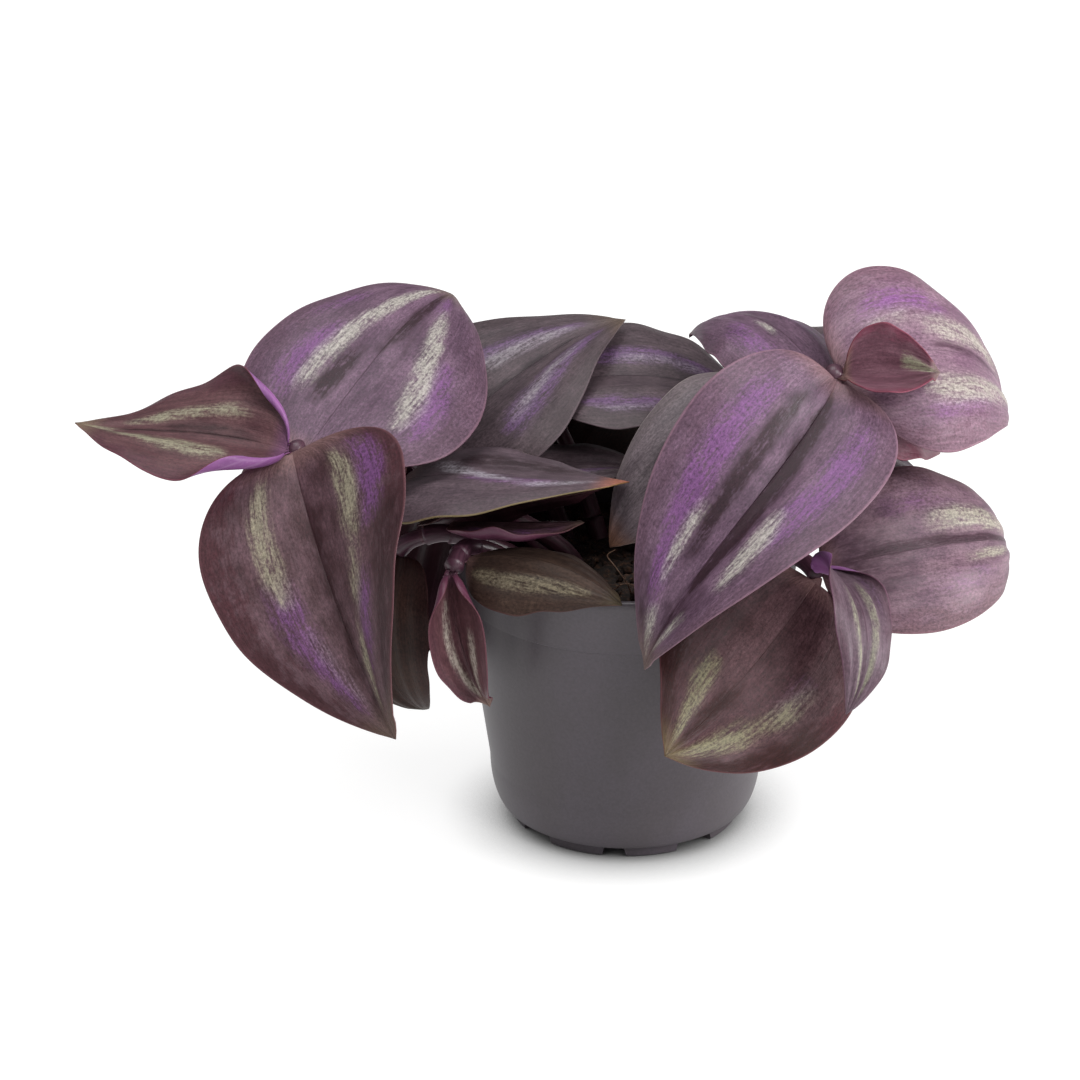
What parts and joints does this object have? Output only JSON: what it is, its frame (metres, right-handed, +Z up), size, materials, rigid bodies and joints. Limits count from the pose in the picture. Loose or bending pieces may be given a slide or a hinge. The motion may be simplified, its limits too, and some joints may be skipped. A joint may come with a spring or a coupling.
{
  "type": "potted wandering plant",
  "caption": "Young trailing house plant with pointed oval leaves, purple with silvery stripes, on thin arching stems that root in the compost of a small round tapered plastic nursery pot.",
  "frame": {"origin": "middle of the pot's floor, on the ground it stands on", "axes": "+Z up; -Y is the side that faces the room; +X to the viewer's right, and the foliage spreads furthest along X"},
  "size_m": [0.1854, 0.1592, 0.1121],
  "materials": {
    "pot": "satin taupe-grey moulded plastic",
    "compost": "dark crumbly peat and bark",
    "stem": "satin fleshy burgundy stem",
    "leaf": "satin dusky purple with silvery stripes",
    "young_leaf": "satin burgundy with dull silvery stripes",
    "shaded_leaf": "satin olive purple with silvery stripes"
  },
  "bodies": {
    "root": {"pot": "pot", "compost": "compost", "shoot_left": "stem", "shoot_tall": "stem", "shoot_right": "stem", "shoot_front": "stem", "shoot_side": "stem", "shoot_rear_left": "stem", "shoot_middle": "stem", "shoot_rear_right": "stem", "shoot_far_left": "stem", "shoot_far": "stem", "leaf_left_rear": "leaf", "leaf_left_hanging": "leaf", "leaf_left_young": "young_leaf", "leaf_left_inner": "leaf", "leaf_tall_outer": "leaf", "leaf_tall_front": "leaf", "leaf_tall_young": "young_leaf", "leaf_tall_inner": "shaded_leaf", "leaf_tall_rear": "leaf", "leaf_tall_below": "young_leaf", "leaf_tall_middle": "leaf", "leaf_tall_low": "shaded_leaf", "leaf_right_outer": "leaf", "leaf_right_hanging": "young_leaf", "leaf_right_young": "young_leaf", "leaf_front_young": "young_leaf", "leaf_front_rim": "shaded_leaf", "leaf_side_under": "shaded_leaf", "leaf_side_inner": "young_leaf", "leaf_side_hanging": "shaded_leaf", "leaf_rear_left_broad": "leaf", "leaf_rear_left_inner": "shaded_leaf", "leaf_rear_left_hanging": "leaf", "leaf_rear_left_top": "leaf", "leaf_rear_left_outer": "leaf", "leaf_rear_left_low": "shaded_leaf", "leaf_middle_broad": "leaf", "leaf_middle_rear": "leaf", "leaf_middle_low": "shaded_leaf", "leaf_rear_right_hanging": "leaf", "leaf_rear_right_outer": "leaf", "leaf_rear_right_low": "leaf", "leaf_rear_right_top": "leaf", "leaf_far_left_hanging": "leaf", "leaf_far_left_outer": "leaf", "leaf_far_left_top": "leaf", "leaf_far_top": "leaf"}
  },
  "joints": []
}
